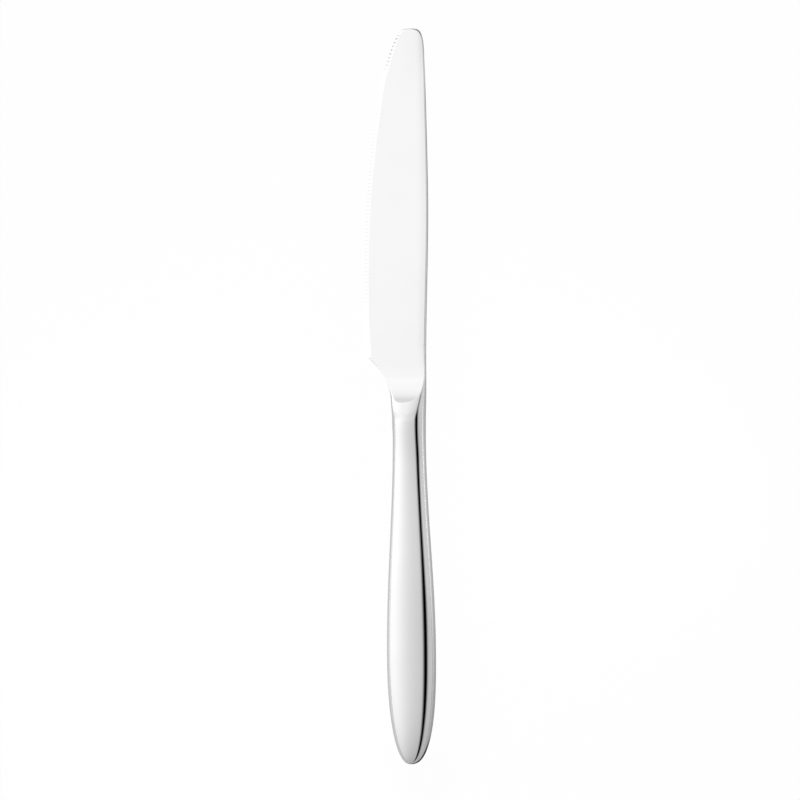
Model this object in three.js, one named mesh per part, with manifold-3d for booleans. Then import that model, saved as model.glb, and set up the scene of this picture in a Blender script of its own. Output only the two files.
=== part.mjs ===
// Table knife with a hollow handle: a forged blade, its bolster and tang in one piece, cemented into
// a handle of two pressed half shells that are welded together along the rim.
// Millimetres, +Z up. The knife lies on its side: +Y points to the tip, +X to the spine.

import * as THREE from 'three';
import { mergeVertices } from 'three/addons/utils/BufferGeometryUtils.js';
import Module from 'manifold-3d';

// Lengths along the knife, from the plane of the handle's mouth
const BLADE_LENGTH = 122.6;
const HANDLE_LENGTH = 107.4;

// Half widths of the handle in plan, on the side of the cutting edge
const EDGE_MOUTH = 6.0;
const EDGE_WAIST = 5.8;
const EDGE_BELLY = 7.7;
const EDGE_WAIST_DISTANCE = 6; // mouth to the narrowest place
const EDGE_BUTT_LENGTH = 37; // widest place to the butt end
const EDGE_BUTT_FULLNESS = 2.27; // 2 is an elliptic end, more is blunter

// Half widths of the handle in plan, on the side of the spine
const SPINE_MOUTH = 4.72;
const SPINE_WAIST = 4.7;
const SPINE_BELLY = 8.0;
const SPINE_WAIST_DISTANCE = 2;
const SPINE_BUTT_LENGTH = 32;
const SPINE_BUTT_FULLNESS = 2.52;

// Half thickness of the handle
const THICK_MOUTH = 4.06;
const THICK_WAIST = 3.66;
const THICK_BELLY = 4.6;
const THICK_WAIST_DISTANCE = 12.9;
const THICK_BUTT_LENGTH = 32.4;
const THICK_BUTT_FULLNESS = 3;

// Handle construction
const SHELL_WALL = 0.8;
const SEAM_WIDTH = 0.4; // weld bead left between the rims of the two half shells
const BRAZE_THICKNESS = 0.3; // joint between the shells' mouth and the bolster
const FIT_CLEARANCE = 0.3; // spigot in the mouth, cement in the shells, tang in the cement

// Blade in plan
const HEEL_DISTANCE = 19.6; // mouth plane to the corner of the heel
const HEEL_DEPTH = 13.85; // axis to the corner of the heel
const HEEL_SWEEP = 3; // exponent of the curve from the neck to the heel
const EDGE_DEPTH = 14.95; // axis to the deepest place of the cutting edge
const EDGE_DEPTH_DISTANCE = 48; // mouth plane to that place
const EDGE_FALL = 8.8; // drawing in of the edge from there to the tip
const EDGE_TIP_LENGTH = 20; // rounding of the tip, on the edge's side
const EDGE_TIP_SWEEP = 1.93;
const EDGE_TIP_FULLNESS = 4.1;
const SPINE_NECK = 4.83; // axis to the spine at the neck
const SPINE_NECK_DISTANCE = 16;
const SPINE_CREST = 5.53; // axis to the highest place of the spine
const SPINE_CREST_DISTANCE = 66;
const SPINE_FALL = 1.55; // drawing in of the spine from there to the tip
const SPINE_FALL_SWEEP = 1.42;
const SPINE_TIP_LENGTH = 9; // rounding of the tip, on the spine's side
const SPINE_TIP_SWEEP = 3.2;
const SPINE_TIP_FULLNESS = 3.5;

// Blade in thickness
const SPINE_THICKNESS_ROOT = 2.3;
const SPINE_THICKNESS_TIP = 1.5;
const EDGE_THICKNESS = 0.8; // of the flanks, where the heel ends
const EDGE_LAND = 0.15;
const BEVEL_WIDTH = 1;
const SPINE_ROUND = 0.6;
const HEEL_LAND = 0.4; // thickness of the heel's rounded border
const HEEL_BORDER = 0.6;

// Bolster, spigot and tang
const FLARE_LENGTH = 11.8; // mouth plane to where the bolster is as slim as the neck
const COVE_START = 14.5; // mouth plane to where the flanks begin to rise to the bolster
const COVE_RADIUS = 17.2;
const NECK_HALF_THICKNESS = 2.4; // of the bolster's flare, where it runs into the blade
const OVAL_FULLNESS = 2; // an elliptic section
const NECK_FULLNESS = 3; // the squarer section where the flare runs into the blade
const BLADE_LAP = 2; // the blade's root inside the bolster
const SPIGOT_LENGTH = 3;
const TANG_LENGTH = 56;
const TANG_ROOT_WIDTH = 5.4;
const TANG_END_WIDTH = 3.8;
const TANG_THICKNESS = 3;
const TANG_NOTCH_DEPTH = 0.7;
const TANG_NOTCH_LENGTH = 4;
const TANG_NOTCHES = 3;

// Smoothness of the faceted surfaces
const SECTION_SIDES = 24;
const HANDLE_STEPS = 10;
const BUTT_STEPS = 9;
const BOLSTER_STEPS = 14;
const HEEL_STEPS = 6;
const BLADE_STEPS = 22;
const TIP_STEPS = 14;
const SPINE_ROUND_STEPS = 3;
const COVE_SIDES = 96;
const SLOPE_STEP = 0.1; // distance over which a slope is taken
const BORDER_SHARE = 0.45; // most of a section's width that a bevel or rounding takes, at the tip

const OVERSHOOT = 1; // cutters run past what they cut
const CUTTER_WIDTH = 4 * EDGE_DEPTH;

const wasm = await Module();
wasm.setup();

const mix = (from, to, share) => from + (to - from) * share;
const ease = (share) => (1 - Math.cos(Math.PI * Math.min(Math.max(share, 0), 1))) / 2;

// One closed skin over rings of equal point counts, with a fan to a point at either end
function loft(rings, startPoint, endPoint) {
  const sides = rings[0].length;
  const points = [...rings.flat(), startPoint, endPoint];
  const start = points.length - 2;
  const end = points.length - 1;
  const lastRing = (rings.length - 1) * sides;
  const triangles = [];
  for (let side = 0; side < sides; side++) {
    const next = (side + 1) % sides;
    triangles.push(start, side, next);
    triangles.push(end, lastRing + next, lastRing + side);
    for (let ring = 0; ring < lastRing; ring += sides) {
      triangles.push(ring + side, ring + sides + next, ring + next);
      triangles.push(ring + side, ring + sides + side, ring + sides + next);
    }
  }
  const geometry = new THREE.BufferGeometry().setFromPoints(points);
  geometry.setIndex(triangles);
  return geometry;
}

// Solids for joining and cutting, from geometries whose corners are shared between their triangles
function solid(geometry) {
  geometry.deleteAttribute('normal');
  geometry.deleteAttribute('uv');
  const shared = mergeVertices(geometry);
  const vertProperties = new Float32Array(shared.attributes.position.array);
  const triVerts = new Uint32Array(shared.index.array);
  return new wasm.Manifold(new wasm.Mesh({ numProp: 3, vertProperties, triVerts }));
}

function geometryOf(body) {
  const mesh = body.getMesh();
  const geometry = new THREE.BufferGeometry();
  geometry.setAttribute('position', new THREE.BufferAttribute(mesh.vertProperties, 3));
  geometry.setIndex(new THREE.BufferAttribute(mesh.triVerts, 1));
  geometry.computeVertexNormals();
  return geometry;
}

// Rounded section of the handle and bolster across the knife, at one distance along it
function ovalRing(edgeSide, spineSide, halfThickness, y, fullness) {
  const centre = (spineSide - edgeSide) / 2;
  const halfWidth = (spineSide + edgeSide) / 2;
  const fuller = (value) => Math.sign(value) * Math.abs(value) ** (2 / fullness);
  return Array.from({ length: SECTION_SIDES }, (_, side) => {
    const angle = (2 * Math.PI * side) / SECTION_SIDES;
    const x = centre + halfWidth * fuller(Math.cos(angle));
    return new THREE.Vector3(x, y, halfThickness * fuller(Math.sin(angle)));
  });
}

const ovalCentre = (edgeSide, spineSide, y) => new THREE.Vector3((spineSide - edgeSide) / 2, y, 0);

// Half size of the handle behind its mouth: mouth to waist, waist to belly, belly to butt
function handleHalf(mouth, waist, belly, waistDistance, buttLength, fullness) {
  const bellyDistance = HANDLE_LENGTH - buttLength;
  return (behind, inset) => {
    if (behind <= waistDistance) {
      return mix(mouth, waist, ease(behind / waistDistance)) - inset;
    }
    if (behind <= bellyDistance) {
      const share = (behind - waistDistance) / (bellyDistance - waistDistance);
      return mix(waist, belly, ease(share)) - inset;
    }
    const share = (behind - bellyDistance) / (buttLength - inset);
    return (belly - inset) * (1 - share ** fullness) ** (1 / fullness);
  };
}

const handleEdge = handleHalf(
  EDGE_MOUTH, EDGE_WAIST, EDGE_BELLY, EDGE_WAIST_DISTANCE, EDGE_BUTT_LENGTH, EDGE_BUTT_FULLNESS,
);
const handleSpine = handleHalf(
  SPINE_MOUTH, SPINE_WAIST, SPINE_BELLY, SPINE_WAIST_DISTANCE, SPINE_BUTT_LENGTH, SPINE_BUTT_FULLNESS,
);
const handleThick = handleHalf(
  THICK_MOUTH, THICK_WAIST, THICK_BELLY, THICK_WAIST_DISTANCE, THICK_BUTT_LENGTH, THICK_BUTT_FULLNESS,
);

// Section of the handle set in by a wall, the same ahead of the mouth as in it
function handleRing(inset, behind) {
  const within = Math.max(behind, 0);
  return ovalRing(
    handleEdge(within, inset), handleSpine(within, inset), handleThick(within, inset), -behind,
    OVAL_FULLNESS,
  );
}

const mouthCentre = (behind) => ovalCentre(EDGE_MOUTH, SPINE_MOUTH, -behind);

// Straight plug through the handle's mouth, set in by a wall
function mouthPlug(inset, front, behind) {
  const rings = [handleRing(inset, 0), handleRing(inset, 0)];
  rings[0].forEach((point) => point.setY(-behind));
  rings[1].forEach((point) => point.setY(-front));
  return solid(loft(rings, mouthCentre(behind), mouthCentre(front)));
}

// The handle's form set in by a wall, from a distance behind the mouth to its rounded end.
// A front before the mouth lengthens the first section, which makes a cutter of it.
function handleForm(inset, front) {
  const bellyDistance = HANDLE_LENGTH - EDGE_BUTT_LENGTH;
  const endDistance = HANDLE_LENGTH - inset;
  const distances = [front];
  for (let step = 0; step < HANDLE_STEPS; step++) {
    const behind = mix(Math.max(front, 0), bellyDistance, step / HANDLE_STEPS);
    if (behind > front) {
      distances.push(behind);
    }
  }
  for (let step = 0; step < BUTT_STEPS; step++) {
    distances.push(mix(bellyDistance, endDistance, Math.sin((Math.PI / 2) * (step / BUTT_STEPS))));
  }
  const rings = distances.map((behind) => handleRing(inset, behind));
  return solid(loft(rings.reverse(), new THREE.Vector3(0, -endDistance, 0), mouthCentre(front)));
}

// Slab across the whole knife between two heights
function slab(low, high) {
  const length = HANDLE_LENGTH + 2 * OVERSHOOT;
  const geometry = new THREE.BoxGeometry(CUTTER_WIDTH, length, high - low);
  geometry.translate(0, -HANDLE_LENGTH / 2, (low + high) / 2);
  return solid(geometry);
}

// Rounding of the blade's tip, as a share of the width it would have with a square end
function tipRound(ahead, length, sweep, fullness) {
  const share = Math.min(Math.max(1 - (BLADE_LENGTH - ahead) / length, 0), 1);
  return (1 - share ** sweep) ** (1 / fullness);
}

// Blade outline: distance from the axis to the cutting edge and to the spine, ahead of the mouth plane
function bladeEdge(ahead) {
  if (ahead <= HEEL_DISTANCE) {
    return mix(EDGE_MOUTH, HEEL_DEPTH, (ahead / HEEL_DISTANCE) ** HEEL_SWEEP);
  }
  if (ahead <= EDGE_DEPTH_DISTANCE) {
    const share = (EDGE_DEPTH_DISTANCE - ahead) / (EDGE_DEPTH_DISTANCE - HEEL_DISTANCE);
    return mix(EDGE_DEPTH, HEEL_DEPTH, share ** 2);
  }
  const share = (ahead - EDGE_DEPTH_DISTANCE) / (BLADE_LENGTH - EDGE_DEPTH_DISTANCE);
  const rounding = tipRound(ahead, EDGE_TIP_LENGTH, EDGE_TIP_SWEEP, EDGE_TIP_FULLNESS);
  return (EDGE_DEPTH - EDGE_FALL * share ** 2) * rounding;
}

function bladeSpine(ahead) {
  if (ahead <= FLARE_LENGTH) {
    return mix(SPINE_MOUTH, SPINE_NECK, ease(ahead / FLARE_LENGTH));
  }
  if (ahead <= SPINE_CREST_DISTANCE) {
    const share = (ahead - SPINE_NECK_DISTANCE) / (SPINE_CREST_DISTANCE - SPINE_NECK_DISTANCE);
    return mix(SPINE_NECK, SPINE_CREST, ease(share));
  }
  const share = (ahead - SPINE_CREST_DISTANCE) / (BLADE_LENGTH - SPINE_CREST_DISTANCE);
  const rounding = tipRound(ahead, SPINE_TIP_LENGTH, SPINE_TIP_SWEEP, SPINE_TIP_FULLNESS);
  return (SPINE_CREST - SPINE_FALL * share ** SPINE_FALL_SWEEP) * rounding;
}

// Height of the blade's flat flank over the middle plane
const flankFall = (SPINE_THICKNESS_ROOT - EDGE_THICKNESS) / 2 / (SPINE_NECK + HEEL_DEPTH);
const flankTaper = (SPINE_THICKNESS_ROOT - SPINE_THICKNESS_TIP) / 2 / BLADE_LENGTH;
const flankHeight = (x, y) => SPINE_THICKNESS_ROOT / 2 + (x - SPINE_NECK) * flankFall - y * flankTaper;

// Section across the blade: land, bevel and flank, round the spine, and back along the other face
function bladeRing(ahead) {
  const edge = -bladeEdge(ahead);
  const spine = bladeSpine(ahead);
  const width = spine - edge;
  const slope = (bladeEdge(ahead + SLOPE_STEP) - bladeEdge(ahead)) / SLOPE_STEP;
  const onHeel = ahead < HEEL_DISTANCE;
  const borderWidth = (onHeel ? HEEL_BORDER : BEVEL_WIDTH) * Math.hypot(1, slope);
  const shoulder = edge + Math.min(borderWidth, BORDER_SHARE * width);
  const rounding = Math.min(SPINE_ROUND, BORDER_SHARE * width);
  const land = Math.min(onHeel ? HEEL_LAND : EDGE_LAND, flankHeight(edge, ahead)) / 2;
  const face = [new THREE.Vector2(edge, land), new THREE.Vector2(shoulder, flankHeight(shoulder, ahead))];
  const crown = flankHeight(spine - rounding, ahead);
  for (let step = 0; step < SPINE_ROUND_STEPS; step++) {
    const angle = (Math.PI / 2) * (step / SPINE_ROUND_STEPS);
    face.push(new THREE.Vector2(spine - rounding * (1 - Math.sin(angle)), crown * Math.cos(angle)));
  }
  const back = face.map((point) => new THREE.Vector2(point.x, -point.y)).reverse();
  const outline = [...face, new THREE.Vector2(spine, 0), ...back];
  return outline.map((point) => new THREE.Vector3(point.x, ahead, point.y)).reverse();
}

function bladePlate() {
  const start = FLARE_LENGTH - BLADE_LAP;
  const tipStart = BLADE_LENGTH - EDGE_TIP_LENGTH;
  const distances = [];
  for (let step = 0; step < HEEL_STEPS; step++) {
    distances.push(mix(start, HEEL_DISTANCE, step / HEEL_STEPS));
  }
  for (let step = 0; step < BLADE_STEPS; step++) {
    distances.push(mix(HEEL_DISTANCE, tipStart, step / BLADE_STEPS));
  }
  for (let step = 0; step < TIP_STEPS; step++) {
    distances.push(mix(tipStart, BLADE_LENGTH, Math.sin((Math.PI / 2) * (step / TIP_STEPS))));
  }
  const rings = distances.map(bladeRing);
  return solid(loft(rings, new THREE.Vector3(0, start, 0), new THREE.Vector3(0, BLADE_LENGTH, 0)));
}

// Bolster: flares from the blade to the handle's mouth, with a cove cut across either face
function bolster() {
  const rings = [];
  for (let step = 0; step <= BOLSTER_STEPS; step++) {
    const ahead = mix(BRAZE_THICKNESS, COVE_START, step / BOLSTER_STEPS);
    const share = ease((ahead - BRAZE_THICKNESS) / (FLARE_LENGTH - BRAZE_THICKNESS));
    const flare = mix(THICK_MOUTH, NECK_HALF_THICKNESS, share);
    const fullness = mix(OVAL_FULLNESS, NECK_FULLNESS, share);
    rings.push(ovalRing(bladeEdge(ahead), bladeSpine(ahead), flare, ahead, fullness));
  }
  const rear = mouthCentre(-BRAZE_THICKNESS);
  const front = ovalCentre(bladeEdge(COVE_START), bladeSpine(COVE_START), COVE_START);
  const body = solid(loft(rings, rear, front));
  return body.subtract(coveCutter(1)).subtract(coveCutter(-1));
}

// Round cutter tangent to the flank where the cove starts
function coveCutter(side) {
  const geometry = new THREE.CylinderGeometry(COVE_RADIUS, COVE_RADIUS, CUTTER_WIDTH, COVE_SIDES);
  geometry.rotateZ(Math.PI / 2);
  geometry.rotateY(-side * Math.atan(flankFall));
  geometry.translate(0, COVE_START, side * (flankHeight(0, COVE_START) + COVE_RADIUS));
  return solid(geometry);
}

// Spigot in the handle's mouth: it narrows with the handle behind it
function spigot() {
  const inset = SHELL_WALL + FIT_CLEARANCE;
  const front = -2 * BRAZE_THICKNESS;
  const rings = [SPIGOT_LENGTH, 0, front].map((behind) => handleRing(inset, behind));
  return solid(loft(rings, mouthCentre(SPIGOT_LENGTH), mouthCentre(front)));
}

// Flat tang with keying notches in both sides, grown on every side for the hole it lies in
function tang(grow) {
  const centre = (SPINE_MOUTH - EDGE_MOUTH) / 2;
  const pitch = (TANG_LENGTH - SPIGOT_LENGTH) / (TANG_NOTCHES + 1);
  const halfWidth = (behind) => mix(TANG_ROOT_WIDTH, TANG_END_WIDTH, behind / TANG_LENGTH) / 2 + grow;
  const side = [[halfWidth(0), 0]];
  for (let notch = 1; notch <= TANG_NOTCHES; notch++) {
    const middle = SPIGOT_LENGTH + notch * pitch;
    for (const [offset, depth] of [[-1, 0], [0, TANG_NOTCH_DEPTH], [1, 0]]) {
      const behind = middle + (offset * TANG_NOTCH_LENGTH) / 2;
      side.push([halfWidth(behind) - depth, behind]);
    }
  }
  side.push([halfWidth(TANG_LENGTH + grow), TANG_LENGTH + grow]);
  const right = side.map(([half, behind]) => new THREE.Vector2(centre + half, -behind));
  const left = side.map(([half, behind]) => new THREE.Vector2(centre - half, -behind)).reverse();
  const depth = TANG_THICKNESS + 2 * grow;
  const outline = new THREE.Shape([...right, ...left]);
  const geometry = new THREE.ExtrudeGeometry(outline, { depth, bevelEnabled: false });
  geometry.translate(0, 0, -depth / 2);
  return solid(geometry);
}

function brazeRing() {
  const hole = mouthPlug(SHELL_WALL, -BRAZE_THICKNESS - OVERSHOOT, OVERSHOOT);
  return mouthPlug(0, -BRAZE_THICKNESS, 0).subtract(hole);
}

const polishedSteel = { color: 0xdfdfde, metalness: 1, roughness: 0.14 };
const satinSteel = { color: 0xe4e4e3, metalness: 1, roughness: 0.26 };
const weldMetal = { color: 0xd2d2d0, metalness: 1, roughness: 0.22 };
const brazeAlloy = { color: 0xd0ccc4, metalness: 1, roughness: 0.25 };
const pottingCement = { color: 0xb9b2a4, metalness: 0, roughness: 0.9 };

const knife = new THREE.Group();

function piece(name, body, finish) {
  const mesh = new THREE.Mesh(geometryOf(body), new THREE.MeshStandardMaterial(finish));
  mesh.name = name;
  knife.add(mesh);
}

const handleSkin = handleForm(0, 0).subtract(handleForm(SHELL_WALL, -OVERSHOOT));
const halfSeam = SEAM_WIDTH / 2;
const reach = THICK_BELLY + OVERSHOOT;
const cementFront = SPIGOT_LENGTH + FIT_CLEARANCE;
const cementFill = handleForm(SHELL_WALL + FIT_CLEARANCE, cementFront);

piece('blade', bladePlate().add(bolster()).add(spigot()).add(tang(0)), satinSteel);
piece('bolster_braze_ring', brazeRing(), brazeAlloy);
piece('handle_front_shell', handleSkin.intersect(slab(halfSeam, reach)), polishedSteel);
piece('handle_back_shell', handleSkin.intersect(slab(-reach, -halfSeam)), polishedSteel);
piece('seam_weld_bead', handleSkin.intersect(slab(-halfSeam, halfSeam)), weldMetal);
piece('handle_cement', cementFill.subtract(tang(FIT_CLEARANCE)), pottingCement);

// The origin lies under the middle of the knife, on the surface it lies on
const box = new THREE.Box3().setFromObject(knife);
const middle = box.getCenter(new THREE.Vector3());
knife.position.set(-middle.x, -middle.y, -box.min.z);

export default knife;
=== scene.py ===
import math

import bmesh
import bpy
import numpy as np
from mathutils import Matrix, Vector


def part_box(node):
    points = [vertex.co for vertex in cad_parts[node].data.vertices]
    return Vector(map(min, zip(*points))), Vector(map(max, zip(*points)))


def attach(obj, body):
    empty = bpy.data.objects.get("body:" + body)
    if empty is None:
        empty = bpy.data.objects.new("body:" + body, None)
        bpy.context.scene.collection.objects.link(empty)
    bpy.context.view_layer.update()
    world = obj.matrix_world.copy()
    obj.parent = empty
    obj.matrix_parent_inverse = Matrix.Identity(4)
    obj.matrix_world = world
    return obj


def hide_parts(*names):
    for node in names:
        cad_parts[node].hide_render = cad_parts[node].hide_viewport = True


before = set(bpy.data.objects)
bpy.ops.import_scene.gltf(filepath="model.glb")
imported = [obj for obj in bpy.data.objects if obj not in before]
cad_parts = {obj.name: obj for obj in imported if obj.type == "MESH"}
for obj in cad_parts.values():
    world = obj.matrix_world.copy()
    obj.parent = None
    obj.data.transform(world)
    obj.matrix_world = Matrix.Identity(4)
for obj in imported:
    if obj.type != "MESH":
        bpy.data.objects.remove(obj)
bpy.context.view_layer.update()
mm = 0.001
ovalFullness = 2.0  # power of a rounding that is a plain ellipse, more is fuller
sharpBend = 38.0  # degrees between two faces from which their edge stays sharp


def mix(start, end, share):
    return start + (end - start) * share


def ease(share):
    return (1 - np.cos(np.pi * np.clip(share, 0, 1))) / 2


# Sizes in millimetres from the point where the knife's axis crosses the handle's mouth,
# y ahead to the tip, x to the spine, z up from the middle plane
handle = {
    "length": 107.4,
    "edge": {"mouth": 6.0, "waist": 5.8, "belly": 7.7, "waistAt": 6, "butt": 37, "fullness": 2.27},
    "spine": {"mouth": 4.72, "waist": 4.7, "belly": 8.0, "waistAt": 2, "butt": 32, "fullness": 2.52},
    "thick": {"mouth": 4.06, "waist": 3.66, "belly": 4.6, "waistAt": 12.9, "butt": 32.4, "fullness": 3.0},
    "wall": 0.8,
    "seam": 0.4,
    "braze": 0.3,
    "fit": 0.3,
    "bodyRows": 110,
    "buttRows": 64,
    "sides": 56,  # faces over one half shell
    "ringSides": 112,
    "shellEnd": 1.02,  # half thickness of a shell's last section, over half the seam
    "beadEnd": 0.001,  # half thickness of the handle where the bead's middle ends
}

ringLow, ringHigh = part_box("bolster_braze_ring")
knifeOrigin = np.array([
    ringHigh.x - handle["spine"]["mouth"] * mm,
    ringLow.y,
    (ringLow.z + ringHigh.z) / 2,
])


# Half size of the handle at a distance behind its mouth, set in by a wall
def handleHalf(side, behind, inset=0.0):
    bellyAt = handle["length"] - side["butt"]
    swelling = ease((behind - side["waistAt"]) / (bellyAt - side["waistAt"]))
    front = mix(side["mouth"], side["waist"], ease(behind / side["waistAt"])) - inset
    body = mix(side["waist"], side["belly"], swelling) - inset
    share = np.clip((behind - bellyAt) / (side["butt"] - inset), 0, 1)
    butt = (side["belly"] - inset) * (1 - share ** side["fullness"]) ** (1 / side["fullness"])
    return np.where(behind <= side["waistAt"], front, np.where(behind <= bellyAt, body, butt))


# Middle, half width and half thickness of the handle's oval sections
def handleOval(behind, inset=0.0):
    edge = handleHalf(handle["edge"], behind, inset)
    spine = handleHalf(handle["spine"], behind, inset)
    return (spine - edge) / 2, (spine + edge) / 2, handleHalf(handle["thick"], behind, inset)


# Distances behind the mouth, closer towards the butt, as far as half the thickness is this height
def handleRows(height, inset=0.0):
    thick = handle["thick"]
    share = (1 - (height / (thick["belly"] - inset)) ** thick["fullness"]) ** (1 / thick["fullness"])
    end = handle["length"] - thick["butt"] + share * (thick["butt"] - inset)
    bellyAt = handle["length"] - handle["edge"]["butt"]
    body = np.linspace(0, bellyAt, handle["bodyRows"], endpoint=False)
    butt = mix(bellyAt, end, np.sin(np.pi / 2 * np.linspace(0, 1, handle["buttRows"] + 1)))
    return np.concatenate([body, butt])


# Oval loop at the handle's mouth, set in by a wall and moved ahead
def mouthLoop(inset, ahead, sides):
    angle = 2 * np.pi * np.arange(sides) / sides
    middle, halfWidth, halfThick = handleOval(np.zeros(sides), inset)
    across = middle + halfWidth * np.cos(angle)
    return np.stack([across, np.full(sides, ahead), halfThick * np.sin(angle)], axis=-1)


# Mesh piece over closed loops of equal point counts, one skin for each set of loops
def loftPiece(name, skins, closedEnds=True):
    points = []
    faces = []
    for loops in skins:
        rows, sides = loops.shape[:2]
        first = sum(len(part) for part in points)
        index = first + np.arange(rows * sides).reshape(rows, sides)
        after = np.roll(index, -1, axis=1)
        ahead = np.roll(index, -1, axis=0)
        aheadAfter = np.roll(after, -1, axis=0)
        count = rows - 1 if closedEnds else rows
        quads = np.stack([index, after, aheadAfter, ahead], axis=-1)[:count]
        faces += quads.reshape(-1, 4).tolist()
        if closedEnds:
            faces += [index[0].tolist(), index[-1].tolist()]
        points.append(loops.reshape(-1, 3) * mm + knifeOrigin)
    mesh = bpy.data.meshes.new(name)
    mesh.from_pydata(np.concatenate(points).tolist(), [], faces)
    work = bmesh.new()
    work.from_mesh(mesh)
    bmesh.ops.recalc_face_normals(work, faces=work.faces)
    for face in work.faces:
        face.smooth = True
    work.to_mesh(mesh)
    work.free()
    mesh.set_sharp_from_angle(angle=math.radians(sharpBend))
    piece = bpy.data.objects.new(name, mesh)
    bpy.context.scene.collection.objects.link(piece)
    return piece


def placePiece(piece, material, node):
    piece.data.materials.append(material)
    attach(piece, "root")
    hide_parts(node)
    print("piece", piece.name, len(piece.data.polygons), "faces")


# Shader node with its settings, and a link or a value for each named input
def addNode(tree, kind, links=None, **settings):
    node = tree.nodes.new(kind)
    for key, value in settings.items():
        setattr(node, key, value)
    for socket, source in (links or {}).items():
        if isinstance(source, bpy.types.NodeSocket):
            tree.links.new(source, node.inputs[socket])
        else:
            node.inputs[socket].default_value = source
    return node


def newGroup(name, inputs, outputs):
    group = bpy.data.node_groups.new(name, "ShaderNodeTree")
    for label, value in inputs.items():
        socket = group.interface.new_socket(label, in_out="INPUT", socket_type="NodeSocketFloat")
        socket.default_value = value
    for label in outputs:
        group.interface.new_socket(label, in_out="OUTPUT", socket_type="NodeSocketFloat")
    return group, group.nodes.new("NodeGroupInput").outputs, group.nodes.new("NodeGroupOutput").inputs


# Fine polishing lines that run along the knife
polishLook = {"across": 5200.0, "along": 60.0, "detail": 3.0}


def makePolishLines():
    inputs = {"Across": polishLook["across"], "Along": polishLook["along"]}
    group, given, out = newGroup("polishLines", inputs, ["Lines"])
    place = addNode(group, "ShaderNodeTexCoord").outputs["Object"]
    scale = addNode(group, "ShaderNodeCombineXYZ",
                    {"X": given["Across"], "Y": given["Along"], "Z": given["Across"]})
    stretched = addNode(group, "ShaderNodeVectorMath", {0: place, 1: scale.outputs[0]},
                        operation="MULTIPLY")
    noise = addNode(group, "ShaderNodeTexNoise",
                    {"Vector": stretched.outputs[0], "Scale": 1.0, "Detail": polishLook["detail"]})
    group.links.new(noise.outputs["Fac"], out["Lines"])
    return group


# Soft haze from handling, with thin scattered scratches
marksLook = {
    "hazeScale": 55.0, "hazeDetail": 4.0, "hazeRoughness": 0.6, "hazeFrom": 0.42, "hazeFull": 0.72,
    "scratchScale": 90.0, "scratchDetail": 1.0, "scratchFrom": 0.70, "scratchFull": 0.76,
    "scratchTurn": (0.0, 0.0, 0.35), "scratchStretch": (14.0, 1.0, 6.0),
}


def makeHandlingMarks():
    inputs = {"Haze Scale": marksLook["hazeScale"], "Scratch Scale": marksLook["scratchScale"]}
    group, given, out = newGroup("handlingMarks", inputs, ["Haze", "Scratches"])
    place = addNode(group, "ShaderNodeTexCoord").outputs["Object"]
    cloud = addNode(group, "ShaderNodeTexNoise", {
        "Vector": place, "Scale": given["Haze Scale"],
        "Detail": marksLook["hazeDetail"], "Roughness": marksLook["hazeRoughness"],
    })
    haze = addNode(group, "ShaderNodeMapRange", {
        "Value": cloud.outputs["Fac"], "From Min": marksLook["hazeFrom"], "From Max": marksLook["hazeFull"],
    }, interpolation_type="SMOOTHSTEP")
    group.links.new(haze.outputs["Result"], out["Haze"])
    turned = addNode(group, "ShaderNodeMapping", {
        "Vector": place, "Rotation": marksLook["scratchTurn"], "Scale": marksLook["scratchStretch"],
    })
    streak = addNode(group, "ShaderNodeTexNoise", {
        "Vector": turned.outputs[0], "Scale": given["Scratch Scale"], "Detail": marksLook["scratchDetail"],
    })
    thin = addNode(group, "ShaderNodeMapRange", {
        "Value": streak.outputs["Fac"],
        "From Min": marksLook["scratchFrom"], "From Max": marksLook["scratchFull"],
    })
    group.links.new(thin.outputs["Result"], out["Scratches"])
    return group


# Rubbed rims, found from how sharply the surface bends
wearLook = {"start": 0.53, "full": 0.62}


def makeRimWear():
    inputs = {"Start": wearLook["start"], "Full": wearLook["full"]}
    group, given, out = newGroup("rimWear", inputs, ["Worn"])
    bend = addNode(group, "ShaderNodeNewGeometry").outputs["Pointiness"]
    worn = addNode(group, "ShaderNodeMapRange",
                   {"Value": bend, "From Min": given["Start"], "From Max": given["Full"]})
    group.links.new(worn.outputs["Result"], out["Worn"])
    return group


polishLines = makePolishLines()
handlingMarks = makeHandlingMarks()
rimWear = makeRimWear()
print("shader groups ready")


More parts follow.
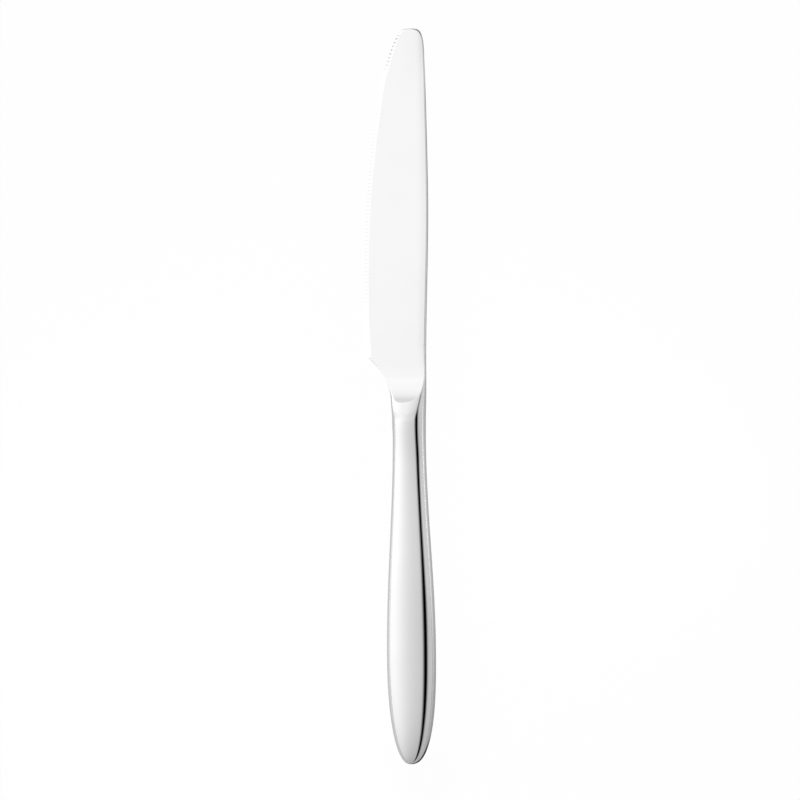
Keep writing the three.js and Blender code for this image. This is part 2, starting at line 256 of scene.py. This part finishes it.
# Steel: clean, hazed and rubbed colour, roughness of the clean metal and what lines, haze and scratches
# add to it. A second look shows where the mesh's satin value is 0, the first where it is 1.
def steelMaterial(name, look, polished=None):
    material = bpy.data.materials.new(name)
    material.use_nodes = True
    tree = material.node_tree
    shader = tree.nodes["Principled BSDF"]
    shader.inputs["Metallic"].default_value = 1.0
    lines = addNode(tree, "ShaderNodeGroup", node_tree=polishLines)
    lines.inputs["Across"].default_value = look["across"]
    lines.inputs["Along"].default_value = look["along"]
    marks = addNode(tree, "ShaderNodeGroup", node_tree=handlingMarks)
    marks.inputs["Haze Scale"].default_value = look["hazeScale"]
    wear = addNode(tree, "ShaderNodeGroup", node_tree=rimWear)

    def blend(share, first, second, kind="RGBA"):
        node = addNode(tree, "ShaderNodeMix", {"Factor": share, "A": first, "B": second}, data_type=kind)
        return node.outputs["Result"]

    def addTo(base, mask, amount):
        links = {0: mask, 1: amount, 2: base}
        return addNode(tree, "ShaderNodeMath", links, operation="MULTIPLY_ADD").outputs[0]

    def colourOf(each):
        hazed = blend(marks.outputs["Haze"], each["clean"] + (1.0,), each["hazed"] + (1.0,))
        return blend(wear.outputs["Worn"], hazed, each["rubbed"] + (1.0,))

    def roughnessOf(each):
        lined = addTo(each["roughness"], lines.outputs["Lines"], each["linesAdd"])
        hazed = addTo(lined, marks.outputs["Haze"], each["hazeAdd"])
        return addTo(hazed, marks.outputs["Scratches"], each["scratchAdd"])

    colour = colourOf(look)
    roughness = roughnessOf(look)
    if polished:
        satin = addNode(tree, "ShaderNodeAttribute", attribute_name="satin").outputs["Fac"]
        colour = blend(satin, colourOf(polished), colour)
        roughness = blend(satin, roughnessOf(polished), roughness, "FLOAT")
    tree.links.new(colour, shader.inputs["Base Color"])
    tree.links.new(roughness, shader.inputs["Roughness"])
    bump = addNode(tree, "ShaderNodeBump", {
        "Height": lines.outputs["Lines"], "Strength": look["bump"], "Distance": look["bumpDepth"],
    })
    tree.links.new(bump.outputs[0], shader.inputs["Normal"])
    return material


# Handle of two half shells
handleLook = {
    "clean": (0.80, 0.80, 0.80), "hazed": (0.785, 0.785, 0.785), "rubbed": (0.82, 0.82, 0.82),
    "roughness": 0.02, "linesAdd": 0.03, "hazeAdd": 0.01, "scratchAdd": 0.04,
    "across": 5200.0, "along": 60.0, "hazeScale": 55.0, "bump": 0.02, "bumpDepth": 0.00002,
}
handleSteel = steelMaterial("handleSteel", handleLook)


# Half shell over one face of the handle: outer skin, rims on the seam and inner skin
def shellLoops(face):
    half = handle["seam"] / 2
    share = np.linspace(0, 1, handle["sides"] + 1)

    def skin(inset):
        behind = handleRows(half * handle["shellEnd"], inset)
        middle, halfWidth, halfThick = [value[:, None] for value in handleOval(behind, inset)]
        start = np.arcsin(np.clip(half / halfThick, 0, 1))
        angle = mix(start, np.pi - start, share[None, :])
        across = middle + halfWidth * np.cos(angle)
        along = np.broadcast_to(-behind[:, None], angle.shape)
        return np.stack([across, along, face * halfThick * np.sin(angle)], axis=-1)

    return np.concatenate([skin(0.0), skin(handle["wall"])[:, ::-1]], axis=1)


frontShell = loftPiece("handleFrontShell", [shellLoops(1)])
placePiece(frontShell, handleSteel, "handle_front_shell")
backShell = loftPiece("handleBackShell", [shellLoops(-1)])
placePiece(backShell, handleSteel, "handle_back_shell")


# Weld bead between the rims, from one side of the mouth round the butt to the other
weldLook = dict(handleLook, clean=(0.785, 0.785, 0.785), roughness=0.04)
weldSteel = steelMaterial("weldSteel", weldLook)


def beadLoops():
    half = handle["seam"] / 2

    def outline(height, inset):
        behind = handleRows(max(abs(height), handle["beadEnd"]), inset)
        middle, halfWidth, halfThick = handleOval(behind, inset)
        reach = halfWidth * np.sqrt(np.clip(1 - (height / halfThick) ** 2, 0, 1))
        left = np.stack([middle - reach, -behind, np.full_like(behind, height)], axis=-1)
        right = np.stack([middle + reach, -behind, np.full_like(behind, height)], axis=-1)
        return np.concatenate([left, right[-2::-1]])

    levels = [(-half, 0.0), (-half / 2, 0.0), (0.0, 0.0), (half / 2, 0.0), (half, 0.0)]
    levels += [(half, handle["wall"]), (-half, handle["wall"])]
    return np.stack([outline(height, inset) for height, inset in levels], axis=1)


weldBead = loftPiece("seamWeldBead", [beadLoops()])
placePiece(weldBead, weldSteel, "seam_weld_bead")


# Brazed joint between the handle's mouth and the bolster
brazeLook = dict(handleLook, clean=(0.79, 0.788, 0.783), roughness=0.04)
brazeAlloy = steelMaterial("brazeAlloy", brazeLook)


def brazeLoops():
    wall = handle["wall"]
    front = handle["braze"]
    corners = [(0.0, 0.0), (0.0, front), (wall, front), (wall, 0.0)]
    return np.stack([mouthLoop(inset, ahead, handle["ringSides"]) for inset, ahead in corners], axis=1)


brazeRing = loftPiece("bolsterBrazeRing", [brazeLoops()], closedEnds=False)
placePiece(brazeRing, brazeAlloy, "bolster_braze_ring")


# Blade with its bolster, spigot and tang
blade = {
    "length": 122.6,
    # cutting edge's outline, as depths below the axis
    "heelAt": 19.6, "heelDepth": 13.85, "heelSweep": 3.0,
    "deepAt": 48, "deep": 14.95, "edgeFall": 8.8,
    "edgeTip": {"length": 20, "sweep": 1.93, "fullness": 4.1},
    # spine's outline, as heights above the axis
    "neckAt": 16, "neck": 4.83, "crestAt": 66, "crest": 5.53, "spineFall": 1.55, "fallSweep": 1.42,
    "spineTip": {"length": 9, "sweep": 3.2, "fullness": 3.5},
    # flanks, and how they roll off along the spine and at the tip
    "rootThick": 2.3, "tipThick": 1.5, "edgeThick": 0.8,
    "rollWidth": 2.35, "rollRadius": 15.0,
    "tipRoll": {"at": 98.0, "run": 18.0, "from": -4.5, "radius": 180.0},
    # rounding into the spine, flatter and wider at the tip
    "spineRound": 0.55, "spineRoundAt": 24,
    "tipSpine": {"at": 104.0, "run": 15.0, "round": 0.8, "fullness": 1.2},
    "roundOver": 0.02,  # how far a rounding ends above the flank
    # bevel along the edge, and the border of the heel behind it
    "land": 0.12, "leastLand": 0.06, "heelBorder": 0.6,
    "bevel": 1.0, "tipBevel": 0.45, "taperAt": 100.0, "bevelEnd": 122.2, "bevelRun": 1.2,
    # teeth, as flutes across the bevel of the front face
    "toothPitch": 1.2, "teethFrom": 34.0, "teethTo": 121.4, "teethFadeIn": 4.0, "teethFadeOut": 1.5,
    "flute": 0.06, "tipFlute": 0.235, "tipFluteAt": 107.0, "fluteRun": 6.0, "fluteReach": 2.4,
    # bolster, from the handle's oval to the neck, fuller on its edge side where the cove ends
    "flareEnd": 11.8, "neckHalfThick": 2.4, "neckFullness": 3.0,
    "edgeFlare": {"fullness": 3.4, "at": 5.4, "run": 3.2},
    # cove, which rises from the flank towards the handle
    "coveStart": 17.7, "coveEdge": 5.62, "coveRise": 2.47, "coveSweep": 3,
    "crease": 0.06, "leastCrease": 0.004,
    # satin finish ahead of the polished bolster
    "satinFrom": 10.0, "satinRun": 4.0,
    # spigot in the handle's mouth, and the tang behind it
    "spigot": 3.0, "spigotSides": 48,
    "tangLength": 56.0, "tangRoot": 5.4, "tangEnd": 3.8, "tangThick": 3.0,
    "notchDepth": 0.7, "notchLength": 4, "notches": 3,
    # rows along the blade and columns across it
    "bolsterRows": 132, "bolsterPast": 1.2, "heelRows": 48, "heelPast": 1.5,
    "rowsPerTooth": 6, "tipRows": 40, "tipStop": 0.004,
    "edgePoints": 4000, "edgeStop": 0.05,
    "edgeCols": 30, "flankCols": 16, "spineCols": 18,
    "flareShare": 0.84, "mostShare": 0.9,  # of half the width, for the columns of a rounding
}


def tipRound(ahead, tip):
    share = np.clip(1 - (blade["length"] - ahead) / tip["length"], 0, 1)
    return np.clip(1 - share ** tip["sweep"], 0, 1) ** (1 / tip["fullness"])


def bladeEdge(ahead):
    sweep = np.clip(ahead / blade["heelAt"], 0, 1) ** blade["heelSweep"]
    heel = mix(handle["edge"]["mouth"], blade["heelDepth"], sweep)
    back = (blade["deepAt"] - ahead) / (blade["deepAt"] - blade["heelAt"])
    middle = mix(blade["deep"], blade["heelDepth"], back ** 2)
    onward = (ahead - blade["deepAt"]) / (blade["length"] - blade["deepAt"])
    front = (blade["deep"] - blade["edgeFall"] * onward ** 2) * tipRound(ahead, blade["edgeTip"])
    return np.where(ahead <= blade["heelAt"], heel, np.where(ahead <= blade["deepAt"], middle, front))


def bladeSpine(ahead):
    neck = mix(handle["spine"]["mouth"], blade["neck"], ease(ahead / blade["flareEnd"]))
    rising = ease((ahead - blade["neckAt"]) / (blade["crestAt"] - blade["neckAt"]))
    middle = mix(blade["neck"], blade["crest"], rising)
    onward = np.clip((ahead - blade["crestAt"]) / (blade["length"] - blade["crestAt"]), 0, 1)
    fallen = blade["crest"] - blade["spineFall"] * onward ** blade["fallSweep"]
    front = fallen * tipRound(ahead, blade["spineTip"])
    return np.where(ahead <= blade["flareEnd"], neck, np.where(ahead <= blade["crestAt"], middle, front))


# Length along the cutting edge from the heel, for evenly spaced teeth
edgeSamples = np.linspace(blade["heelAt"], blade["length"] - blade["edgeStop"], blade["edgePoints"])
edgeSteps = np.hypot(np.diff(edgeSamples), np.diff(bladeEdge(edgeSamples)))
edgeLengths = np.concatenate([[0.0], np.cumsum(edgeSteps)])


# Depth of the flutes, none at a tooth's point and most midway to the next
def fluteDepth(ahead):
    turn = np.interp(ahead, edgeSamples, edgeLengths) / blade["toothPitch"]
    fadeIn = ease((ahead - blade["teethFrom"]) / blade["teethFadeIn"])
    fadeOut = ease((blade["teethTo"] - ahead) / blade["teethFadeOut"])
    deepening = ease((ahead - blade["tipFluteAt"]) / blade["fluteRun"])
    deepest = mix(blade["flute"], blade["tipFlute"], deepening)
    return deepest * np.abs(np.sin(np.pi * turn)) * fadeIn * fadeOut


# Distances ahead of the mouth, in step with the teeth from the heel to the tip
def bladeRows():
    bolsterEnd = blade["flareEnd"] + blade["bolsterPast"]
    heelEnd = blade["heelAt"] + blade["heelPast"]
    tipStart = blade["teethTo"]
    tipEnd = blade["length"] - blade["tipStop"]
    bolster = np.linspace(handle["braze"], bolsterEnd, blade["bolsterRows"], endpoint=False)
    heel = np.linspace(bolsterEnd, heelEnd, blade["heelRows"], endpoint=False)
    first, last = np.interp([heelEnd, tipStart], edgeSamples, edgeLengths)
    step = blade["toothPitch"] / blade["rowsPerTooth"]
    body = np.interp(np.arange(math.ceil(first / step), last / step) * step, edgeLengths, edgeSamples)
    tip = mix(tipStart, tipEnd, np.sin(np.pi / 2 * np.linspace(0, 1, blade["tipRows"])))
    rows = np.concatenate([bolster, heel, [blade["heelAt"]], body, tip])
    return np.unique(np.round(rows, 5))


# Lesser of two heights, with their crease rounded off where they differ by less than a width
def softMin(first, second, width):
    return np.minimum(first, second) - np.maximum(width - np.abs(first - second), 0) ** 2 / (4 * width)


# Quarter round that rises from a border over a run to a height, and goes on rising past it
def borderRound(distance, run, height, fullness):
    share = np.clip(distance / run, 0, 1)
    return height * (1 - (1 - share) ** fullness) ** (1 / fullness) + np.maximum(distance - run, 0)


# Half thickness of the flat flanks, which thin towards the edge and the tip
def flankHeight(x, ahead):
    fall = (blade["rootThick"] - blade["edgeThick"]) / 2 / (blade["neck"] + blade["heelDepth"])
    taper = (blade["rootThick"] - blade["tipThick"]) / 2 / blade["length"]
    return blade["rootThick"] / 2 + (x - blade["neck"]) * fall - ahead * taper


# One loop for each row, over the front face from edge to spine and back over the rear face
def bladeLoops():
    ahead = bladeRows()
    edge = bladeEdge(ahead)
    spine = bladeSpine(ahead)
    halfWidth = (edge + spine) / 2

    def column(values):
        return values[:, None]

    # how far the bolster's rounding has given way to the spine's and the heel's, and the heel's to the bevel
    flareEnd = blade["flareEnd"]
    bevelRun = blade["bevelRun"]
    leaving = ease((ahead - flareEnd) / (blade["spineRoundAt"] - flareEnd))
    heeling = ease((ahead - flareEnd) / (blade["heelAt"] - flareEnd))
    starting = ease((ahead - blade["heelAt"] + bevelRun / 2) / bevelRun)
    cutting = starting * ease((blade["bevelEnd"] - ahead) / bevelRun)

    # slant of the outline, because widths are measured square to it
    edgeStretch = mix(1, np.hypot(1, np.gradient(edge, ahead)), heeling)
    spineStretch = mix(1, np.hypot(1, np.gradient(spine, ahead)), leaving)

    # towards the tip the bevel narrows and the spine's rounding flattens
    tapering = ease((ahead - blade["taperAt"]) / (blade["bevelEnd"] - blade["taperAt"]))
    bevel = mix(blade["bevel"], blade["tipBevel"], tapering)
    tipSpine = blade["tipSpine"]
    slimming = ease((ahead - tipSpine["at"]) / tipSpine["run"])
    spineRun = mix(blade["spineRound"], tipSpine["round"], slimming)
    spineFullness = mix(ovalFullness, tipSpine["fullness"], slimming)

    # a flute deeper than the land can give cuts into the outline
    groove = fluteDepth(ahead)
    bevelRise = (flankHeight(bevel - edge, ahead) - blade["land"] / 2) / bevel
    bite = np.maximum(groove + blade["leastLand"] - blade["land"], 0) / (2 * bevelRise)
    toothed = edge - bite * edgeStretch * cutting

    # columns over the edge's border, the flank and the rounding into the spine
    border = mix(blade["heelBorder"], bevel * blade["fluteReach"], cutting) * edgeStretch
    flareRun = blade["flareShare"] * halfWidth
    mostRun = blade["mostShare"] * halfWidth
    shoulder = np.minimum(mix(flareRun, border, heeling), mostRun) - edge
    crown = spine - np.minimum(mix(flareRun, spineRun * spineStretch, leaving), mostRun)
    edgeShare = 1 - np.cos(np.pi / 2 * np.linspace(0, 1, blade["edgeCols"], endpoint=False))
    flankShare = np.linspace(0, 1, blade["flankCols"], endpoint=False)
    spineShare = np.sin(np.pi / 2 * np.linspace(0, 1, blade["spineCols"] + 1))
    x = np.concatenate([
        mix(column(-toothed), column(shoulder), edgeShare),
        mix(column(shoulder), column(crown), flankShare),
        mix(column(crown), column(spine), spineShare),
    ], axis=1)
    y = np.broadcast_to(column(ahead), x.shape)
    fromSpine = (column(spine) - x) / column(spineStretch)
    fromEdge = (x + column(edge)) / column(edgeStretch)

    # flank that rolls off along the spine and at the tip
    spineRoll = np.maximum(blade["rollWidth"] - fromSpine, 0) ** 2 / (2 * blade["rollRadius"])
    tipRoll = blade["tipRoll"]
    endRoll = np.maximum(x - tipRoll["from"], 0) ** 2 / (2 * tipRoll["radius"])
    tipping = ease((ahead - tipRoll["at"]) / tipRoll["run"])
    roll = spineRoll * column(leaving / spineStretch ** 2) + endRoll * column(tipping)
    plane = flankHeight(x, y) - roll

    # cove over the flank
    back = np.maximum(blade["coveStart"] - ahead, 0) / (blade["coveStart"] - blade["coveEdge"])
    top = plane + column(blade["coveRise"] * back ** blade["coveSweep"])

    # bolster's rounding, which turns into the spine's and the heel's
    braze = handle["braze"]
    flaring = ease((ahead - braze) / (flareEnd - braze))
    flare = mix(handle["thick"]["mouth"], blade["neckHalfThick"], flaring)
    flareSize = column(halfWidth), column(flare)
    fullness = mix(ovalFullness, blade["neckFullness"], flaring)
    edgeFlare = blade["edgeFlare"]
    swelling = ease((ahead - braze) / (edgeFlare["at"] - braze))
    slackening = ease((ahead - edgeFlare["at"]) / edgeFlare["run"])
    edgeFullness = mix(mix(ovalFullness, edgeFlare["fullness"], swelling), fullness, slackening)
    spineHeight = plane[:, -1:] + blade["roundOver"]
    heelHeight = plane[:, :1] + blade["roundOver"]
    spineSide = mix(borderRound(fromSpine, *flareSize, column(fullness)),
                    borderRound(fromSpine, column(spineRun), spineHeight, column(spineFullness)),
                    column(leaving))
    heelSide = mix(borderRound(fromEdge, *flareSize, column(edgeFullness)),
                   borderRound(fromEdge, blade["heelBorder"], heelHeight, ovalFullness),
                   column(heeling))
    crease = blade["crease"] * column(1 - cutting) + blade["leastCrease"]

    # height of one face, with the flutes cut into its bevel
    def face(cut, least):
        bevelSide = blade["land"] / 2 + (plane - blade["land"] / 2) * fromEdge / column(bevel) - cut
        edgeSide = mix(heelSide, bevelSide, column(cutting))
        return np.maximum(softMin(top, np.minimum(spineSide, edgeSide), crease), least)

    rearFace = face(0.0, blade["leastLand"] / 2)
    frontFace = face(column(groove), blade["leastLand"] - rearFace)
    front = np.stack([x, y, frontFace], axis=-1)
    rear = np.stack([x, y, -rearFace], axis=-1)
    return np.concatenate([front, rear[:, ::-1]], axis=1)


# Spigot that fits the handle's mouth and ends inside the bolster, past the brazed joint
def spigotLoops():
    inset = handle["wall"] + handle["fit"]
    ends = (-blade["spigot"], 2 * handle["braze"])
    return np.stack([mouthLoop(inset, ahead, blade["spigotSides"]) for ahead in ends])


# Flat tang with keying notches in both of its sides
def tangLoops():
    middle = (handle["spine"]["mouth"] - handle["edge"]["mouth"]) / 2
    pitch = (blade["tangLength"] - blade["spigot"]) / (blade["notches"] + 1)
    stations = [(0.0, 0.0)]
    for notch in range(1, blade["notches"] + 1):
        at = blade["spigot"] + notch * pitch
        run = blade["notchLength"] / 2
        stations += [(at - run, 0.0), (at, blade["notchDepth"]), (at + run, 0.0)]
    stations.append((blade["tangLength"], 0.0))
    rows = []
    for behind, depth in stations:
        half = mix(blade["tangRoot"], blade["tangEnd"], behind / blade["tangLength"]) / 2 - depth
        high = blade["tangThick"] / 2
        corners = [(-half, -high), (half, -high), (half, high), (-half, high)]
        rows.append([(middle + x, -behind, z) for x, z in corners])
    return np.array(rows)


bladeLook = {
    "clean": (0.89, 0.89, 0.89), "hazed": (0.88, 0.88, 0.88), "rubbed": (0.895, 0.895, 0.895),
    "roughness": 0.10, "linesAdd": 0.08, "hazeAdd": 0.03, "scratchAdd": 0.04,
    "across": 4200.0, "along": 45.0, "hazeScale": 40.0, "bump": 0.03, "bumpDepth": 0.00002,
}
bladeSteel = steelMaterial("bladeSteel", bladeLook, handleLook)
bladePiece = loftPiece("bladeForging", [bladeLoops(), spigotLoops(), tangLoops()])
aheadOf = np.array([point.co.y - knifeOrigin[1] for point in bladePiece.data.vertices]) / mm
satin = bladePiece.data.attributes.new("satin", "FLOAT", "POINT")
satin.data.foreach_set("value", ease((aheadOf - blade["satinFrom"]) / blade["satinRun"]))
placePiece(bladePiece, bladeSteel, "blade")


# Cement inside the handle keeps its CAD solid
cementLook = {
    "pale": (0.50, 0.47, 0.42), "dark": (0.36, 0.33, 0.29), "smooth": 0.75, "rough": 0.95,
    "grain": 900.0, "detail": 6.0, "bumpDepth": 0.0002,
}


def cementMaterial():
    material = bpy.data.materials.new("pottingCement")
    material.use_nodes = True
    tree = material.node_tree
    shader = tree.nodes["Principled BSDF"]
    place = addNode(tree, "ShaderNodeTexCoord").outputs["Object"]
    grain = addNode(tree, "ShaderNodeTexNoise", {
        "Vector": place, "Scale": cementLook["grain"], "Detail": cementLook["detail"],
    }).outputs["Fac"]
    colour = addNode(tree, "ShaderNodeMix", {
        "Factor": grain, "A": cementLook["pale"] + (1.0,), "B": cementLook["dark"] + (1.0,),
    }, data_type="RGBA")
    tree.links.new(colour.outputs["Result"], shader.inputs["Base Color"])
    rough = addNode(tree, "ShaderNodeMapRange", {
        "Value": grain, "To Min": cementLook["smooth"], "To Max": cementLook["rough"],
    })
    tree.links.new(rough.outputs["Result"], shader.inputs["Roughness"])
    bump = addNode(tree, "ShaderNodeBump", {"Height": grain, "Distance": cementLook["bumpDepth"]})
    tree.links.new(bump.outputs[0], shader.inputs["Normal"])
    return material


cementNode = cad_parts["handle_cement"]
cementNode.data.materials.clear()
cementNode.data.materials.append(cementMaterial())
print("cement finished")


# White table, which keeps a faint shadow, with a painted patch of shade on its colour beside the butt so
# that the knife's polished rim mirrors dark there.
# From here on lengths are in metres, in the frame's own coordinates.
table = {
    "size": 6.0, "shade": 0.43, "whiteShare": 0.985, "mirroredShare": 0.05,
    # painted shade: centre, inner and outer radius and colour of the dark patch painted on the table beside
    # the butt
    "paintedShadeAt": (0.008, -0.1185, 0.0), "paintedShadeInner": 0.006, "paintedShadeOuter": 0.014, "paintedShadeLevel": 0.01,
}


def makeTable():
    mesh = bpy.data.meshes.new("whiteTable")
    half = table["size"] / 2
    corners = [(-half, -half, 0), (half, -half, 0), (half, half, 0), (-half, half, 0)]
    mesh.from_pydata(corners, [], [(0, 1, 2, 3)])
    top = bpy.data.objects.new("whiteTable", mesh)
    bpy.context.scene.collection.objects.link(top)
    material = bpy.data.materials.new("whiteTable")
    material.use_nodes = True
    tree = material.node_tree
    tree.nodes.clear()
    place = addNode(tree, "ShaderNodeTexCoord").outputs["Object"]
    # painted shade: the table's colour falls from its shade to a dark patch round a point beside the butt
    away = addNode(tree, "ShaderNodeVectorMath", {0: place, 1: table["paintedShadeAt"]}, operation="DISTANCE")
    shade = addNode(tree, "ShaderNodeMapRange", {
        "Value": away.outputs["Value"], "From Min": table["paintedShadeInner"], "From Max": table["paintedShadeOuter"],
        "To Min": table["paintedShadeLevel"], "To Max": table["shade"],
    }, interpolation_type="SMOOTHSTEP")
    matt = addNode(tree, "ShaderNodeBsdfDiffuse", {"Color": shade.outputs["Result"]})
    white = addNode(tree, "ShaderNodeEmission", {"Strength": 1.0})
    path = addNode(tree, "ShaderNodeLightPath").outputs
    mirrored = addNode(tree, "ShaderNodeMath", {0: path["Is Glossy Ray"], 1: table["mirroredShare"]},
                       operation="MULTIPLY")
    share = addNode(tree, "ShaderNodeMath",
                    {0: path["Is Camera Ray"], 1: table["whiteShare"], 2: mirrored.outputs[0]},
                    operation="MULTIPLY_ADD")
    both = addNode(tree, "ShaderNodeMixShader",
                   {0: share.outputs[0], 1: matt.outputs[0], 2: white.outputs[0]})
    addNode(tree, "ShaderNodeOutputMaterial", {"Surface": both.outputs[0]})
    mesh.materials.append(material)


makeTable()


# Light tent: how bright its wall is at each angle from overhead, in degrees towards the spine's side,
# with a dark stripe, and how that changes with the way along the knife, from -1 at the butt to 1 at the tip
tent = {
    "full": 1.25,  # level that is full on a ramp
    "round": [
        (-90, 1.22), (-75, 1.24), (-60, 1.24), (-50, 1.19), (-40, 1.125), (-30, 1.04), (-20, 0.96),
        (-10, 0.89), (0, 0.836), (10, 0.793), (20, 0.763), (28, 0.70), (66, 0.681), (78, 0.668), (90, 0.756),
    ],
    "stripe": [
        (27, 0), (30, 0.06), (33, 0.35), (36, 0.72), (39, 0.95), (42, 1.25), (48, 1.15),
        (51, 0.93), (54, 0.62), (57, 0.38), (60, 0.15), (64, 0.06), (68, 0),
    ],
    "stripeFade": [
        (-1.0, 0.06), (-0.5, 0.08), (-0.29, 0.12), (-0.17, 0.05), (-0.08, 0.0), (0.0, 0.0), (0.05, 0.215),
        (0.1, 0.51), (0.2, 0.55), (0.3, 0.55), (0.4, 0.4), (0.55, 0.1), (1.0, 0.0),
    ],
    "buttShade": 0.5,
    "buttShare": [(-1.0, 1.0), (-0.7, 0.764), (-0.4, 0.485), (-0.25, 0.26), (-0.13, 0.086), (-0.05, 0.0)],
    "tipGain": [
        (-0.05, 1.0), (-0.03, 1.01), (0.0, 1.05), (0.02, 1.10), (0.07, 1.095), (0.1, 1.08),
        (0.125, 1.065), (0.16, 1.11), (0.2, 1.15), (0.3, 1.19), (0.45, 1.21), (0.58, 1.135),
        (0.65, 1.085), (0.72, 0.965), (0.777, 0.836), (0.82, 0.82), (0.868, 0.76), (1.0, 0.65),
    ],
}


def setRamp(node, stops):
    ramp = node.color_ramp
    while len(ramp.elements) > 1:
        ramp.elements.remove(ramp.elements[0])
    for number, (place, level) in enumerate(stops):
        element = ramp.elements[0] if number == 0 else ramp.elements.new(place)
        element.position = place
        element.color = (level, level, level, 1.0)


def makeTent():
    world = bpy.data.worlds.new("lightTent")
    bpy.context.scene.world = world
    world.use_nodes = True
    world.cycles.sampling_method = "NONE"
    tree = world.node_tree
    tree.nodes.clear()
    full = tent["full"]
    heading = addNode(tree, "ShaderNodeTexCoord").outputs["Generated"]
    parts = addNode(tree, "ShaderNodeSeparateXYZ", {0: heading}).outputs
    angle = addNode(tree, "ShaderNodeMath", {0: parts["X"], 1: parts["Z"]}, operation="ARCTAN2")
    turn = addNode(tree, "ShaderNodeMapRange",
                   {"Value": angle.outputs[0], "From Min": -math.pi / 2, "From Max": math.pi / 2})
    reach = addNode(tree, "ShaderNodeMapRange", {"Value": parts["Y"], "From Min": -1.0, "From Max": 1.0})

    def overTurn(name):
        ramp = addNode(tree, "ShaderNodeValToRGB", {0: turn.outputs["Result"]})
        setRamp(ramp, [((degrees + 90) / 180, level / full) for degrees, level in tent[name]])
        return ramp.outputs[0]

    def overReach(name):
        ramp = addNode(tree, "ShaderNodeValToRGB", {0: reach.outputs["Result"]})
        setRamp(ramp, [((along + 1) / 2, level / full) for along, level in tent[name]])
        return ramp.outputs[0]

    def sums(kind, first, second):
        return addNode(tree, "ShaderNodeMath", {0: first, 1: second}, operation=kind).outputs[0]

    share = sums("MULTIPLY", overReach("buttShare"), full)
    wall = addNode(tree, "ShaderNodeMix",
                   {"Factor": share, "A": overTurn("round"), "B": tent["buttShade"] / full})
    stripe = sums("SUBTRACT", overTurn("stripe"), overReach("stripeFade"))
    stripe = sums("MULTIPLY", sums("MAXIMUM", stripe, 0.0), full)
    unstriped = sums("SUBTRACT", 1.0, sums("MINIMUM", stripe, 1.0))
    light = sums("MULTIPLY", sums("MULTIPLY", wall.outputs["Result"], overReach("tipGain")), unstriped)
    lit = addNode(tree, "ShaderNodeBackground", {"Color": light, "Strength": full ** 2})
    white = addNode(tree, "ShaderNodeBackground", {"Color": (1.0, 1.0, 1.0, 1.0), "Strength": 1.0})
    path = addNode(tree, "ShaderNodeLightPath").outputs
    seen = addNode(tree, "ShaderNodeMixShader",
                   {0: path["Is Camera Ray"], 1: lit.outputs[0], 2: white.outputs[0]})
    addNode(tree, "ShaderNodeOutputWorld", {"Surface": seen.outputs[0]})


makeTent()


# Low lamps on both sides, for the table alone: the knife mirrors only the tent
lamps = {
    "edgeLamp": {
        "place": (-0.18, -0.06, 0.08), "aim": (0.0, -0.06, 0.0),
        "radius": 0.04, "spread": 110.0, "watts": 2.6,
    },
    "spineLamp": {
        "place": (0.12, -0.03, 0.04), "aim": (0.0, -0.03, 0.0),
        "radius": 0.02, "spread": 110.0, "watts": 0.86,
    },
}


def makeLamp(name, lamp):
    data = bpy.data.lights.new(name, "SPOT")
    data.energy = lamp["watts"]
    data.shadow_soft_size = lamp["radius"]
    data.spot_size = math.radians(lamp["spread"])
    data.spot_blend = 1.0
    light = bpy.data.objects.new(name, data)
    light.location = lamp["place"]
    way = Vector(lamp["aim"]) - Vector(lamp["place"])
    light.rotation_euler = way.to_track_quat("-Z", "Y").to_euler()
    light.visible_glossy = False
    bpy.context.scene.collection.objects.link(light)


for lampName, lamp in lamps.items():
    makeLamp(lampName, lamp)
print("table, tent and lamps ready")


# Camera, leaning to the spine's side
view = {"lean": 15.0, "distance": 1.0, "width": 0.25042, "aim": (-0.000087, -0.00115, 0.0046)}
lean = math.radians(view["lean"])
cameraData = bpy.data.cameras.new("camera")
cameraData.lens = cameraData.sensor_width * view["distance"] / view["width"]
camera = bpy.data.objects.new("camera", cameraData)
camera.location = Vector(view["aim"]) + view["distance"] * Vector((math.sin(lean), 0.0, math.cos(lean)))
camera.rotation_euler = (0.0, lean, 0.0)
bpy.context.scene.collection.objects.link(camera)
bpy.context.scene.camera = camera
bpy.context.scene.view_settings.view_transform = "Standard"
print("camera set")
